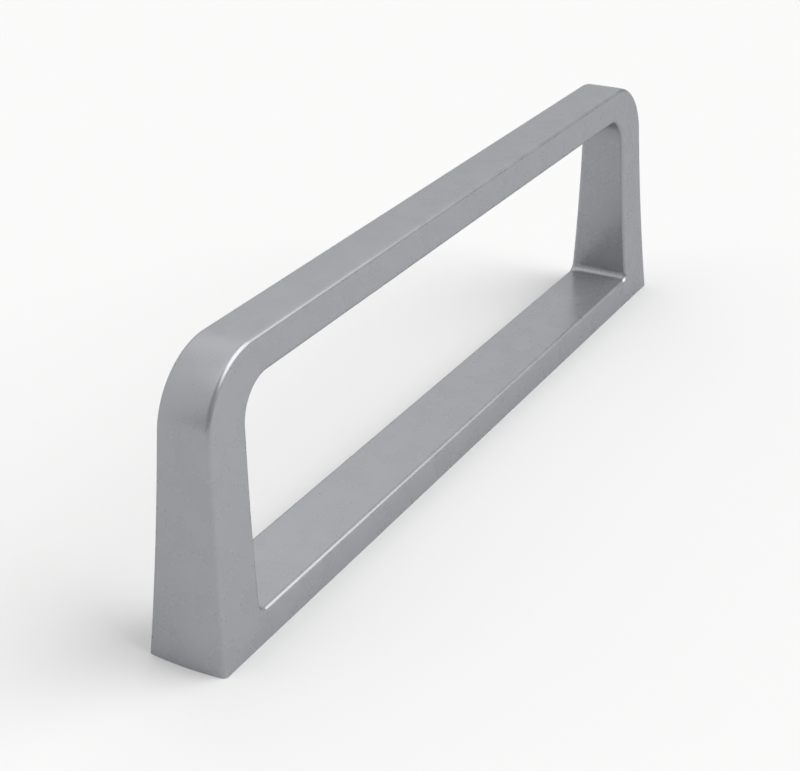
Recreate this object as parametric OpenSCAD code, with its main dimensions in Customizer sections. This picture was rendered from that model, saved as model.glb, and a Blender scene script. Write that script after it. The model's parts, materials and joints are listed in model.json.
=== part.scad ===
// Closed loop pull handle for the front of a rack unit or drawer.
// One cast piece: a grip bar, two legs that lean inwards, and a base bar that lies on the panel.
// The front and back faces flare towards the panel, the ends are slightly barrelled, and all the
// long edges are rounded. Two blind holes, tapped from below, hold it from behind the panel.
// The origin is the middle of the mounting face. X runs along the grip and Z away from the panel.

/* [Fixing holes] */
// Distance between the centres of the two holes
hole_spacing = 128; // [96:1:192]
// Tapping diameter of a hole
hole_diameter = 3.3; // [2.5:0.1:4.2]
// Depth of the full diameter
hole_depth = 10; // [6:0.5:16]
// Width of the countersink at the mouth
hole_countersink = 0.4; // [0.2:0.1:0.8]

/* [Frame] */
// Height of the grip's top above the panel
handle_height = 39.8; // [34:0.1:55]
// Length of each leg's foot on the panel
foot_length = 8.6; // [7:0.1:12]
// Thickness of the grip bar
grip_thickness = 5.2; // [3.5:0.1:8]
// Thickness of the base bar
base_thickness = 4.3; // [2.5:0.1:7]
// Angle by which the outer end faces lean inwards
outer_lean = 4.7; // [1:0.1:8]
// Angle by which the inner leg faces lean inwards
inner_lean = 2.8; // [0:0.1:5]

/* [Corners] */
// Radius of the outer corner between a leg and the grip
outer_corner = 10.1; // [7:0.1:15]
// Radius of the inner corner between a leg and the grip
inner_corner = 5.3; // [3:0.1:8]
// Radius of the small fillet where a leg meets the base bar
foot_fillet = 1.2; // [0.6:0.1:3]
// Rounding of the long edges
edge_round = 0.7; // [0.3:0.05:1.1]

/* [Faces] */
// Width of the grip across its top
top_width = 7.1; // [5:0.1:12]
// Angle of the straight upper part of the front and back faces
side_draft = 2.2; // [0.5:0.1:4]
// Height below which the front and back faces curve outwards
flare_height = 26; // [12:0.5:32]
// Radius of that outward curve
flare_radius = 480; // [250:5:900]
// Bulge of each end face at the middle of its width
end_bulge = 0.38; // [0.1:0.02:0.9]

/* [Hidden] */

$fn = 48;

// Steps that the curved stretches are drawn in
corner_steps = 14;
leg_steps = 6;
foot_steps = 6;
edge_steps = 4;
end_steps = 4;
face_steps = 2;

half_length = (hole_spacing + foot_length) / 2;
foot_inner_x = half_length - foot_length;
window_top = handle_height - grip_thickness;

// The frame is drawn past the panel plane, with its lower rounding clear of it, and cut off flat
trim_depth = 4 * edge_round;
leg_end_z = -edge_round;

// Half width of the handle at a height, and how fast it narrows going up
function half_width(z) = top_width / 2 + (handle_height - z) * tan(side_draft) + flare(z);
function flare(z) = flare_radius - sqrt(pow(flare_radius, 2) - pow(max(flare_height - z, 0), 2));
function narrowing(z) = tan(side_draft) + max(flare_height - z, 0) / flare_radius;

foot_half_width = half_width(0);

// Slanted lines of the leg faces, as X at a height
function outer_x(z) = half_length - z * tan(outer_lean);
function inner_x(z) = foot_inner_x - z * tan(inner_lean);

// Arc centres in the XZ plane, each as far from the lines it joins as its radius
outer_centre_z = handle_height - outer_corner;
outer_centre = [outer_x(outer_centre_z) - outer_corner / cos(outer_lean), outer_centre_z];
inner_centre_z = window_top - inner_corner;
inner_centre = [inner_x(inner_centre_z) - inner_corner / cos(inner_lean), inner_centre_z];
foot_centre_z = base_thickness + foot_fillet;
foot_centre = [inner_x(foot_centre_z) - foot_fillet / cos(inner_lean), foot_centre_z];

function direction(angle) = [cos(angle), sin(angle)];
function between(a, b, t) = a + (b - a) * t;
function steps(count) = [for (i = [1 : count]) i / count];

// A station of the loop: outer point, outer normal, inner point, inner normal
function corner_station(t) =
    let (outer = direction(between(90, outer_lean, t)), inner = direction(between(90, inner_lean, t)))
    [outer_centre + outer_corner * outer, outer, inner_centre + inner_corner * inner, -inner];

function leg_station(t) =
    let (outer = direction(outer_lean), inner = direction(inner_lean))
    let (outer_z = between((outer_centre + outer_corner * outer)[1], leg_end_z, t))
    let (inner_z = between((inner_centre + inner_corner * inner)[1], (foot_centre + foot_fillet * inner)[1], t))
    [[outer_x(outer_z), outer_z], outer, [inner_x(inner_z), inner_z], -inner];

// Round the foot the outer line goes down to the corner that is cut off, then along underneath
function foot_station(t) =
    let (down = min(2 * t, 1), along = max(2 * t - 1, 0))
    let (outer_z = down < 1 ? between(leg_end_z, -trim_depth / 2, down) : -trim_depth)
    let (outer_x_here = between(outer_x(outer_z), foot_centre[0], along))
    let (outer = direction(along > 0 ? -90 : down < 1 ? outer_lean : (outer_lean - 90) / 2))
    let (inner = direction(between(180 + inner_lean, 90, t)))
    [[outer_x_here, outer_z], outer, foot_centre - foot_fillet * inner, inner];

half_loop = concat(
    [corner_station(0)],
    [for (t = steps(corner_steps)) corner_station(t)],
    [for (t = steps(leg_steps)) leg_station(t)],
    [for (t = steps(foot_steps)) foot_station(t)]
);

function mirrored(s) = [for (v = s) [-v[0], v[1]]];
last = len(half_loop) - 1;
loop = concat(half_loop, [for (i = [last : -1 : 0]) mirrored(half_loop[i])]);

// Rounding of one long edge between two faces with the given unit normals
function edge_arc(corner, from, to, count) =
    let (centre = corner - edge_round * (from + to) / (1 + from * to), turn = acos(from * to))
    [for (i = [0 : count])
        centre + edge_round * (from * sin(turn * (1 - i / count)) + to * sin(turn * i / count)) / sin(turn)];

function unit(v) = v / norm(v);
function lift(p, y) = [p[0], y, p[1]];

// Bulge of the outer face at a place across it, fading out where it turns into the flat top
function bulge(s, y) =
    end_bulge * max(abs(s[1][0]), 0) * (pow(half_width(s[0][1]), 2) - y * y) / pow(foot_half_width, 2);
function bulge_slope(s) = 2 * end_bulge * abs(s[1][0]) * half_width(s[0][1]) / pow(foot_half_width, 2);

// Front half of the section at a station, from the middle of the outer face to the inner face
function front_half(s) =
    let (outer_corner_point = lift(s[0], -half_width(s[0][1])))
    let (inner_corner_point = lift(s[2], -half_width(s[2][1])))
    let (outer_normal = unit(lift(s[1], -bulge_slope(s))))
    let (outer_front = unit([0, -1, narrowing(s[0][1])]))
    let (inner_front = unit([0, -1, narrowing(s[2][1])]))
    let (outer_edge = edge_arc(outer_corner_point, outer_normal, outer_front, edge_steps))
    let (inner_edge = edge_arc(inner_corner_point, inner_front, lift(s[3], 0), edge_steps))
    concat(
        [for (i = [1 : end_steps - 1])
            let (y = outer_edge[0][1] * i / end_steps)
            lift(s[0] + s[1] * bulge(s, y), y)],
        outer_edge,
        [for (i = [1 : face_steps - 1])
            let (p = between(outer_edge[edge_steps], inner_edge[0], i / face_steps))
            [p[0], -half_width(p[2]), p[2]]],
        inner_edge
    );

function section(s) =
    let (front = front_half(s), count = len(front))
    concat(
        [lift(s[0] + s[1] * bulge(s, 0), 0)],
        front,
        [for (i = [count - 1 : -1 : 0]) [front[i][0], -front[i][1], front[i][2]]]
    );

// Skin over a ring of sections, closed on itself both ways
module ring_loft(sections) {
    rings = len(sections);
    count = len(sections[0]);
    points = [for (ring = sections) for (p = ring) p];
    faces = [
        for (r = [0 : rings - 1], i = [0 : count - 1])
            let (next_r = (r + 1) % rings, next_i = (i + 1) % count)
            let (a = r * count + i, b = r * count + next_i, c = next_r * count + next_i, d = next_r * count + i)
            each [[a, b, c], [a, c, d]]
    ];
    polyhedron(points = points, faces = faces, convexity = 6);
}

// Everything below the panel plane, cut away to leave the flat mounting face
module panel_side() {
    size = [4 * half_length, 4 * foot_half_width, 4 * trim_depth];
    translate([-size[0] / 2, -size[1] / 2, -size[2]]) cube(size);
}

// Blind hole with a countersunk mouth and a drill point
module fixing_hole() {
    radius = hole_diameter / 2;
    point_length = radius / tan(59);
    mouth = radius + hole_countersink;
    overlap = 0.5;
    translate([0, 0, -overlap]) cylinder(r = radius, h = hole_depth + overlap);
    translate([0, 0, hole_depth]) cylinder(r1 = radius, r2 = 0, h = point_length);
    translate([0, 0, -overlap]) cylinder(r1 = mouth + overlap, r2 = radius, h = hole_countersink + overlap);
}

module handle() {
    color("silver")
    difference() {
        ring_loft([for (s = loop) section(s)]);
        panel_side();
        for (side = [-1, 1]) {
            translate([side * hole_spacing / 2, 0, 0]) fixing_hole();
        }
    }
}

handle();
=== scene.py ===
# A closed loop pull handle for a rack unit or drawer, standing on its mounting face.
# It is one satin metal casting. All lengths are in metres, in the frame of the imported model.

import bmesh
import bpy
import json
from math import cos, pi, radians, sin, sqrt, tan
from mathutils import Matrix, Vector


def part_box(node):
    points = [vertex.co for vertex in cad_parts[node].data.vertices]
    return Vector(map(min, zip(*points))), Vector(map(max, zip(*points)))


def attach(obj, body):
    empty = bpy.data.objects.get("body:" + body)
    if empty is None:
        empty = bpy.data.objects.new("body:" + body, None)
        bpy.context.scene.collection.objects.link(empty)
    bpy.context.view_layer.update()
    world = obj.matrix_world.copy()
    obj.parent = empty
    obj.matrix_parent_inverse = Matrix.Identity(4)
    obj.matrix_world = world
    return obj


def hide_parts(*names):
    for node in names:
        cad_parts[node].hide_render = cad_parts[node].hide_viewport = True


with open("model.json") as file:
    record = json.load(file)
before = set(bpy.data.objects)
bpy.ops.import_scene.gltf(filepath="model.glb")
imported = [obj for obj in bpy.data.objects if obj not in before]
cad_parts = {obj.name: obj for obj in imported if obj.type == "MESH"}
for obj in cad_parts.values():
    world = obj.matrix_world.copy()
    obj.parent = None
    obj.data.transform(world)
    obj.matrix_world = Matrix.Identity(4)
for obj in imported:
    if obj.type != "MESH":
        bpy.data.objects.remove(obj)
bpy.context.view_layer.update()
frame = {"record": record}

# The casting: grip bar, two legs that lean inwards and the base bar, all one piece of metal.
# Its front and back flare towards the panel in a long shallow curve, the ends are slightly
# barrelled, and every long edge is rounded where the mould and the blasting leave it soft.

mm = 0.001
holes = next(m for m in frame["record"]["mounts"] if m["name"] == "fixing_holes")["dims"]
hole_spacing = holes["spacing_x_mm"] * mm
hole_radius = holes["hole_r_mm"] * mm
handle_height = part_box("handle")[1][2]

foot_length = 8.6 * mm
grip_thickness = 5.2 * mm
base_thickness = 4.3 * mm
outer_lean = radians(4.7)
inner_lean = radians(2.8)
outer_corner = 10.1 * mm
inner_corner = 5.3 * mm
foot_fillet = 1.2 * mm
edge_round = 0.7 * mm
top_width = 7.1 * mm
side_draft = radians(2.2)
flare_height = 26 * mm
flare_radius = 480 * mm
end_bulge = 0.38 * mm

half_length = (hole_spacing + foot_length) / 2
window_top = handle_height - grip_thickness


def half_width(z):
    """Half the width of the handle at a height."""
    below = max(flare_height - z, 0)
    flare = flare_radius - sqrt(flare_radius ** 2 - below ** 2)
    return top_width / 2 + (handle_height - z) * tan(side_draft) + flare


def outer_x(z):
    return half_length - z * tan(outer_lean)


def inner_x(z):
    return half_length - foot_length - z * tan(inner_lean)


def corner_centre(leg_x, lean, radius, top):
    """Centre of the arc that joins a leaning leg face to the level line at the top."""
    z = top - radius
    return Vector((leg_x(z) - radius / cos(lean), z))


outer_centre = corner_centre(outer_x, outer_lean, outer_corner, handle_height)
inner_centre = corner_centre(inner_x, inner_lean, inner_corner, window_top)
foot_centre = corner_centre(inner_x, inner_lean, foot_fillet, base_thickness + 2 * foot_fillet)


def direction(angle):
    return Vector((cos(angle), sin(angle)))


def between(a, b, t):
    return a + (b - a) * t


def steps(count):
    return [(i + 1) / count for i in range(count)]


def corner_station(t):
    """Outer point and normal, then inner point and normal, round the corner at the grip."""
    outer = direction(between(pi / 2, outer_lean, t))
    inner = direction(between(pi / 2, inner_lean, t))
    return outer_centre + outer_corner * outer, outer, inner_centre + inner_corner * inner, -inner


def leg_station(t):
    """Down a leg, to just past the panel plane on the outside."""
    outer_z = between(corner_station(1)[0].y, -edge_round, t)
    inner_z = between(corner_station(1)[2].y, foot_centre.y + foot_fillet * sin(inner_lean), t)
    outer = Vector((outer_x(outer_z), outer_z))
    inner = Vector((inner_x(inner_z), inner_z))
    return outer, direction(outer_lean), inner, -direction(inner_lean)


def foot_station(t):
    """Round the small fillet inside the foot, while the outer point turns the corner below."""
    down = min(2 * t, 1)
    along = max(2 * t - 1, 0)
    outer_z = between(-edge_round, -2 * edge_round, down) if down < 1 else -4 * edge_round
    outer = Vector((between(outer_x(outer_z), foot_centre.x, along), outer_z))
    angle = outer_lean if down < 1 else -pi / 2 if along > 0 else (outer_lean - pi / 2) / 2
    inner = direction(between(pi + inner_lean, pi / 2, t))
    return outer, direction(angle), foot_centre - foot_fillet * inner, inner


def edge_arc(corner, start, end, count):
    """Points of a rounded edge between two faces that meet at the corner with these normals."""
    centre = corner - edge_round * (start + end) / (1 + start.dot(end))
    return [centre + edge_round * start.slerp(end, i / count) for i in range(count + 1)]


def lift(p, y):
    return Vector((p.x, y, p.y))


def front_normal(z):
    slope = tan(side_draft) + max(flare_height - z, 0) / flare_radius
    return Vector((0, -1, slope)).normalized()


EDGE_STEPS = 8
END_STEPS = 8
FACE_STEPS = 8
CORNER_STEPS = 48
LEG_STEPS = 20
FOOT_STEPS = 12


def section(station):
    """Closed ring of points round the bar at a station, front half first."""
    outer, outer_normal, inner, inner_normal = station
    width = half_width(outer.y)
    bulge = end_bulge * max(outer_normal.x, 0) * (width / half_width(0)) ** 2
    end_normal = lift(outer_normal, -2 * bulge / width).normalized()
    outer_edge = edge_arc(lift(outer, -width), end_normal, front_normal(outer.y), EDGE_STEPS)
    inner_edge = edge_arc(
        lift(inner, -half_width(inner.y)), front_normal(inner.y), lift(inner_normal, 0), EDGE_STEPS)

    def end_point(i):
        y = outer_edge[0].y * i / END_STEPS
        return lift(outer + outer_normal * bulge * (1 - (y / width) ** 2), y)

    def face_point(i):
        p = between(outer_edge[-1], inner_edge[0], i / FACE_STEPS)
        return Vector((p.x, -half_width(p.z), p.z))

    front = [end_point(i) for i in range(1, END_STEPS)] + outer_edge
    front += [face_point(i) for i in range(1, FACE_STEPS)] + inner_edge
    return [end_point(0)] + front + [Vector((p.x, -p.y, p.z)) for p in reversed(front)]


half_loop = [corner_station(0)] + [corner_station(t) for t in steps(CORNER_STEPS)]
half_loop += [leg_station(t) for t in steps(LEG_STEPS)]
half_loop += [foot_station(t) for t in steps(FOOT_STEPS)]
half_rings = [section(station) for station in half_loop]
rings = half_rings + [[Vector((-p.x, p.y, p.z)) for p in ring] for ring in reversed(half_rings)]

casting = bmesh.new()
ring_verts = [[casting.verts.new(p) for p in ring] for ring in rings]
count = len(ring_verts[0])
for ring, next_ring in zip(ring_verts, ring_verts[1:] + ring_verts[:1]):
    for i in range(count):
        j = (i + 1) % count
        casting.faces.new((ring[j], ring[i], next_ring[i], next_ring[j]))
everything = casting.verts[:] + casting.edges[:] + casting.faces[:]
bmesh.ops.bisect_plane(casting, geom=everything, plane_co=(0, 0, 0), plane_no=(0, 0, -1), clear_outer=True)

# Fixing holes: drilled blind into each foot from below, countersunk at the mouth and tapped.
# The tap leaves a fine V thread down the wall, and the drill leaves a cone at the bottom.

hole_depth = 10 * mm
countersink = 0.4 * mm
drill_half_angle = radians(59)
drill_point = hole_radius / tan(drill_half_angle)
thread_pitch = 0.7 * mm
thread_cut = 0.32 * mm
TURN_STEPS = 48
PITCH_STEPS = 10
SHARP_ANGLE = radians(30)


def thread_wall(turn, z):
    """Radius of the tapped wall at a place round the hole and up it."""
    into = min((z - countersink) / thread_pitch, (hole_depth - z) / thread_pitch, 1)
    phase = (z / thread_pitch - turn) % 1
    return hole_radius + thread_cut * max(into, 0) * (1 - abs(2 * phase - 1))


def hole_ring(mesh, x, z, radius):
    """Ring of points round a hole; the radius may depend on the place round it."""
    ring = []
    for i in range(TURN_STEPS):
        turn = i / TURN_STEPS
        r = radius(turn, z) if callable(radius) else radius
        ring.append(mesh.verts.new((x + r * cos(2 * pi * turn), r * sin(2 * pi * turn), z)))
    return ring


wall_rows = round((hole_depth - countersink) / thread_pitch * PITCH_STEPS)
for side in (-1, 1):
    x = side * hole_spacing / 2
    hole = [hole_ring(casting, x, 0, hole_radius + countersink)]
    for i in range(wall_rows + 1):
        z = between(countersink, hole_depth, i / wall_rows)
        hole.append(hole_ring(casting, x, z, thread_wall))
    for lower, upper in zip(hole, hole[1:]):
        for i in range(TURN_STEPS):
            j = (i + 1) % TURN_STEPS
            casting.faces.new((lower[i], lower[j], upper[j], upper[i]))
    tip = casting.verts.new((x, 0, hole_depth + drill_point))
    for i in range(TURN_STEPS):
        casting.faces.new((hole[-1][i], hole[-1][(i + 1) % TURN_STEPS], tip))

rim = [e for e in casting.edges if e.is_boundary]
bmesh.ops.triangle_fill(casting, use_beauty=True, edges=rim, normal=(0, 0, -1))
bmesh.ops.recalc_face_normals(casting, faces=casting.faces)
handle_mesh = bpy.data.meshes.new("handle_casting")
casting.to_mesh(handle_mesh)
casting.free()
for face in handle_mesh.polygons:
    face.use_smooth = True
handle_mesh.set_sharp_from_angle(angle=SHARP_ANGLE)
handle = bpy.data.objects.new("handle_casting", handle_mesh)
bpy.context.scene.collection.objects.link(handle)
flat_faces = handle.modifiers.new("flat_faces", "WEIGHTED_NORMAL")
flat_faces.mode = "FACE_AREA"
flat_faces.keep_sharp = True
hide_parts("handle")
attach(handle, "root")

# The finish: the whole casting is blasted with fine beads, which leaves a cool grey satin of
# shallow dimples too small to see one by one. Its sheen and its tone drift a little from place
# to place, as the blasting and the handling leave them.

metal = bpy.data.materials.new("blasted_satin_metal")
metal.use_nodes = True
nodes = metal.node_tree.nodes
links = metal.node_tree.links
shader = nodes["Principled BSDF"]
shader.inputs["Metallic"].default_value = 0.64
shader.inputs["Specular Tint"].default_value = (0.5, 0.5, 0.5, 1)
shader.inputs["Specular IOR Level"].default_value = 0.1
place = nodes.new("ShaderNodeTexCoord")

BEAD = 0.05 * mm
DIMPLE_DEPTH = 0.0015 * mm
BLOTCH = 4 * mm
NOISE_LOW = 0.35
NOISE_HIGH = 0.65


def grain(name, size, detail=0.0):
    """Noise over the metal with features of about the given size."""
    node = nodes.new("ShaderNodeTexNoise")
    node.name = name
    node.inputs["Scale"].default_value = 1 / size
    node.inputs["Detail"].default_value = detail
    links.new(place.outputs["Object"], node.inputs["Vector"])
    return node.outputs["Fac"]


def relief(height, depth):
    """Bump of the given depth from a height."""
    node = nodes.new("ShaderNodeBump")
    node.inputs["Strength"].default_value = 1.0
    node.inputs["Distance"].default_value = depth
    links.new(height, node.inputs["Height"])
    return node.outputs["Normal"]


def spread(name, value, low, high):
    """The middle of a noise stretched over a range."""
    node = nodes.new("ShaderNodeMapRange")
    node.name = name
    node.inputs["From Min"].default_value = NOISE_LOW
    node.inputs["From Max"].default_value = NOISE_HIGH
    node.inputs["To Min"].default_value = low
    node.inputs["To Max"].default_value = high
    links.new(value, node.inputs["Value"])
    return node.outputs["Result"]


blasted = relief(grain("bead_dimples", BEAD, 1.0), DIMPLE_DEPTH)
links.new(blasted, shader.inputs["Normal"])
links.new(spread("handling", grain("blotches", BLOTCH, 3.0), 0.26, 0.30), shader.inputs["Roughness"])

tone = nodes.new("ShaderNodeMix")
tone.data_type = "RGBA"
tone.inputs["A"].default_value = (0.346, 0.356, 0.376, 1)
tone.inputs["B"].default_value = (0.360, 0.370, 0.390, 1)
links.new(spread("tone_range", grain("tone", BLOTCH, 2.0), 0.0, 1.0), tone.inputs["Factor"])
links.new(tone.outputs["Result"], shader.inputs["Base Color"])
handle_mesh.materials.append(metal)

# The table: a plain pale matt surface that reaches far behind the handle. It lies two hundredths
# of a millimetre under the mounting face, so that the two faces never share a plane.

table_reach = 12.0
table_gap = 0.02 * mm
corner_signs = ((-1, -1), (1, -1), (1, 1), (-1, 1))
table_corners = [(table_reach * x, table_reach * y, -table_gap) for x, y in corner_signs]
table_mesh = bpy.data.meshes.new("table")
table_mesh.from_pydata(table_corners, [], [(0, 1, 2, 3)])
table = bpy.data.objects.new("table", table_mesh)
bpy.context.scene.collection.objects.link(table)
paper = bpy.data.materials.new("pale_table")
paper.use_nodes = True
paper_shader = paper.node_tree.nodes["Principled BSDF"]
paper_shader.inputs["Base Color"].default_value = (0.715, 0.715, 0.712, 1)
paper_shader.inputs["Roughness"].default_value = 1.0
paper_shader.inputs["Specular IOR Level"].default_value = 0.0
table_mesh.materials.append(paper)

# The light: a plain studio. One large soft box stands to the right of the camera and a weak one
# hangs overhead. Behind the handle a wide pale sweep fills in, with a small reflector before it.
# The rest of the room is dim.

world = bpy.data.worlds.new("studio")
world.use_nodes = True
room = world.node_tree
looking = room.nodes.new("ShaderNodeTexCoord").outputs["Generated"]
ROOM_LIGHT = 0.3


def soft_box(name, turn, rise, core, edge, brightness):
    """Round soft light seen in a direction, full out to its core and faded to nothing at its edge."""
    toward = (cos(radians(turn)) * cos(radians(rise)), sin(radians(turn)) * cos(radians(rise)),
              sin(radians(rise)))
    facing = room.nodes.new("ShaderNodeVectorMath")
    facing.operation = "DOT_PRODUCT"
    facing.inputs[1].default_value = toward
    room.links.new(looking, facing.inputs[0])
    angle = room.nodes.new("ShaderNodeMath")
    angle.operation = "ARCCOSINE"
    room.links.new(facing.outputs["Value"], angle.inputs[0])
    fade = room.nodes.new("ShaderNodeMapRange")
    fade.name = name
    fade.interpolation_type = "SMOOTHSTEP"
    fade.inputs["From Min"].default_value = radians(edge)
    fade.inputs["From Max"].default_value = radians(core)
    fade.inputs["To Min"].default_value = 0.0
    fade.inputs["To Max"].default_value = brightness
    room.links.new(angle.outputs[0], fade.inputs["Value"])
    return fade.outputs["Result"]


lights = [
    soft_box("key_box", 298, 44, 22, 38, 3.3),
    soft_box("overhead_box", 160, 74, 10, 36, 0.5),
    soft_box("back_sweep", 80, 28, 60, 85, 0.67),
    soft_box("back_reflector", 52, 46, 8, 30, 0.26),
]
total = None
for light in lights:
    added = room.nodes.new("ShaderNodeMath")
    added.operation = "ADD"
    added.inputs[0].default_value = ROOM_LIGHT
    if total is not None:
        room.links.new(total, added.inputs[0])
    room.links.new(light, added.inputs[1])
    total = added.outputs[0]
room.nodes["Background"].inputs["Color"].default_value = (1, 1, 1, 1)
room.links.new(total, room.nodes["Background"].inputs["Strength"])
bpy.context.scene.world = world
bpy.context.scene.view_settings.view_transform = "Standard"

# The camera: it stands where the photograph was taken from, off the near end and a little above.
# Its place, turn and focal length were fitted to the handle's edges. Places are in hundredths of
# the base's length, and the focal length is in pixels of the photograph.

scale = 2 * half_length / 100
view_turn = radians(-60.622)
view_rise = radians(26.80)
view_roll = radians(-0.581)
view_distance = 190.198 * scale
aim = Vector((0.771, 6.330, 4.072)) * scale
focal_in_pixels = 1667.458
image_width = 800
back = Vector((sin(view_turn) * cos(view_rise), -cos(view_turn) * cos(view_rise), sin(view_rise)))
level = Vector((cos(view_turn), sin(view_turn), 0))
upward = back.cross(level)
right = level * cos(view_roll) + upward * sin(view_roll)
up = upward * cos(view_roll) - level * sin(view_roll)
camera_data = bpy.data.cameras.new("camera")
camera_data.sensor_width = 36
camera_data.lens = focal_in_pixels / image_width * camera_data.sensor_width
camera_data.clip_start = 0.01
camera_data.clip_end = 50
camera = bpy.data.objects.new("camera", camera_data)
axes = Matrix((right, up, back)).transposed()
camera.matrix_world = Matrix.Translation(aim + back * view_distance) @ axes.to_4x4()
bpy.context.scene.collection.objects.link(camera)
bpy.context.scene.camera = camera
